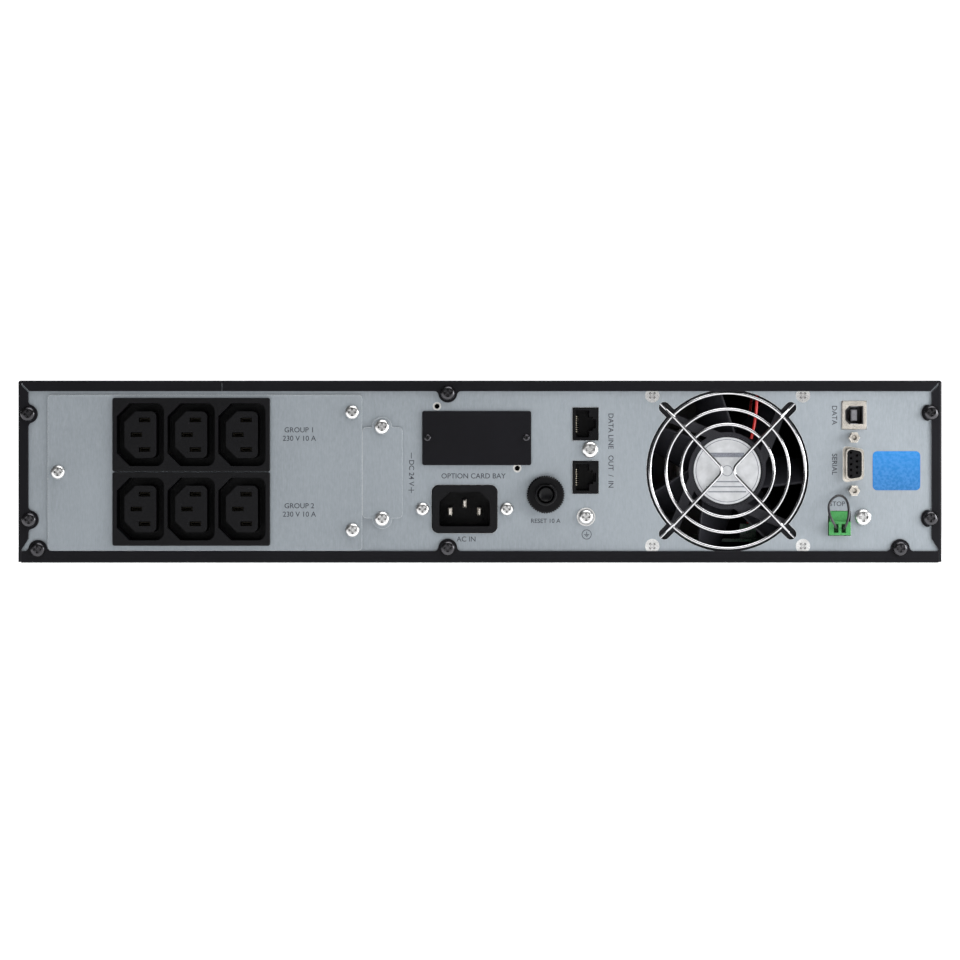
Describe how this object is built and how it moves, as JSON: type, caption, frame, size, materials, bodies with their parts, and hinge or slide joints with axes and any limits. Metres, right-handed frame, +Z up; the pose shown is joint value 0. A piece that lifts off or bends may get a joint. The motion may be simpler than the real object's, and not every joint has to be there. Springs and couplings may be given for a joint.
{
  "type": "rackmount uninterruptible power supply",
  "caption": "Two-unit rack-mount uninterruptible power supply with mains outlets, inlet, guarded fan, data and service ports on its rear panel and a display at the front.",
  "frame": {"origin": "middle of the case footprint, on the surface the unit stands on", "axes": "+X across the unit to the right as seen from the rear, +Y from the connector panel to the display, +Z up"},
  "size_m": [0.438, 0.419, 0.0865],
  "materials": {
    "painted_steel": "fine textured black powder coat",
    "galvanised_steel": "matte galvanised sheet with fine upright grain",
    "zinc_steel": "bright zinc plate",
    "black_screw": "black zinc",
    "silver_screw": "bright nickel plate",
    "black_moulding": "fine grained black moulding",
    "brass_contact": "plain",
    "copper_contact": "plain",
    "gold_contact": "gold flash",
    "nickel_plate": "nickel plate",
    "circuit_board": "green solder mask",
    "fan_plastic": "black",
    "silver_label": "metallised label",
    "chromed_wire": "bright plated wire",
    "red_lead": "red insulation",
    "grey_moulding": "light grey",
    "green_moulding": "green terminal plastic",
    "black_lead": "black insulation",
    "battery_case": "dark grey battery case",
    "plain_aluminium": "extruded",
    "capacitor_sleeve": "shrink sleeve",
    "lamination_steel": "varnished laminations",
    "bezel_plastic": "fine textured black",
    "display_glass": "clear lens over a dark display"
  },
  "bodies": {
    "root": {"base_pan": "painted_steel", "top_cover": "painted_steel", "battery_bay_cover": "painted_steel", "ear_nuts": "zinc_steel", "case_screws": "black_screw", "rear_panel": "galvanised_steel", "panel_screws": "silver_screw", "outlet_plate": "galvanised_steel", "outlet_block_upper": "black_moulding", "outlet_block_lower": "black_moulding", "outlet_contacts": "brass_contact", "battery_port_cover": "galvanised_steel", "battery_port_connector": "black_moulding", "battery_port_contacts": "copper_contact", "slot_cover": "painted_steel", "slot_cover_screws": "black_screw", "slot_nuts": "zinc_steel", "card_guides": "black_moulding", "inlet_body": "black_moulding", "inlet_pins": "nickel_plate", "breaker_body": "black_moulding", "breaker_nut": "black_moulding", "breaker_terminals": "brass_contact", "data_jack_upper": "black_moulding", "data_jack_lower": "black_moulding", "data_jack_contacts": "gold_contact", "surge_board": "circuit_board", "ground_screw": "silver_screw", "ground_nut": "zinc_steel", "fan_frame": "fan_plastic", "fan_label": "silver_label", "fan_guard": "chromed_wire", "fan_screws": "silver_screw", "fan_nuts": "zinc_steel", "fan_lead": "red_lead", "usb_shell": "nickel_plate", "usb_tongue": "grey_moulding", "serial_shell": "nickel_plate", "serial_insert": "black_moulding", "serial_jackscrews": "nickel_plate", "service_board": "circuit_board", "stop_header": "green_moulding", "batteries": "battery_case", "battery_tabs": "brass_contact", "battery_fittings": "galvanised_steel", "battery_leads": "black_lead", "power_boards": "circuit_board", "heatsinks": "plain_aluminium", "board_parts": "capacitor_sleeve", "transformer": "lamination_steel", "front_bezel": "bezel_plastic", "display": "display_glass"},
    "rotor": {"fan_impeller": "fan_plastic"},
    "reset_button": {"breaker_button": "black_moulding"},
    "terminal_plug": {"stop_plug": "green_moulding", "stop_plug_screws": "silver_screw", "stop_jumper": "black_lead"},
    "mute_key": {"mute_button": "bezel_plastic"},
    "select_key": {"select_button": "bezel_plastic"},
    "power_key": {"power_button": "bezel_plastic"}
  },
  "joints": [
    {"name": "rotor_spin", "type": "hinge", "parent": "root", "child": "rotor", "pos_m": [0.1175, -0.1967, 0.0437], "axis": [0, 1, 0], "continuous": true},
    {"name": "reset_trip", "type": "slide", "parent": "root", "child": "reset_button", "axis": [0, -1, 0], "range_m": [0, 0.0035]},
    {"name": "plug_pull", "type": "slide", "parent": "root", "child": "terminal_plug", "axis": [0, -1, 0], "range_m": [0, 0.012]},
    {"name": "mute_press", "type": "slide", "parent": "root", "child": "mute_key", "axis": [0, -1, 0], "range_m": [0, 0.0008], "stiffness_N_per_m": 800, "springref_m": -0.0005},
    {"name": "select_press", "type": "slide", "parent": "root", "child": "select_key", "axis": [0, -1, 0], "range_m": [0, 0.0008], "stiffness_N_per_m": 800, "springref_m": -0.0005},
    {"name": "power_press", "type": "slide", "parent": "root", "child": "power_key", "axis": [0, -1, 0], "range_m": [0, 0.0008], "stiffness_N_per_m": 800, "springref_m": -0.0005}
  ]
}
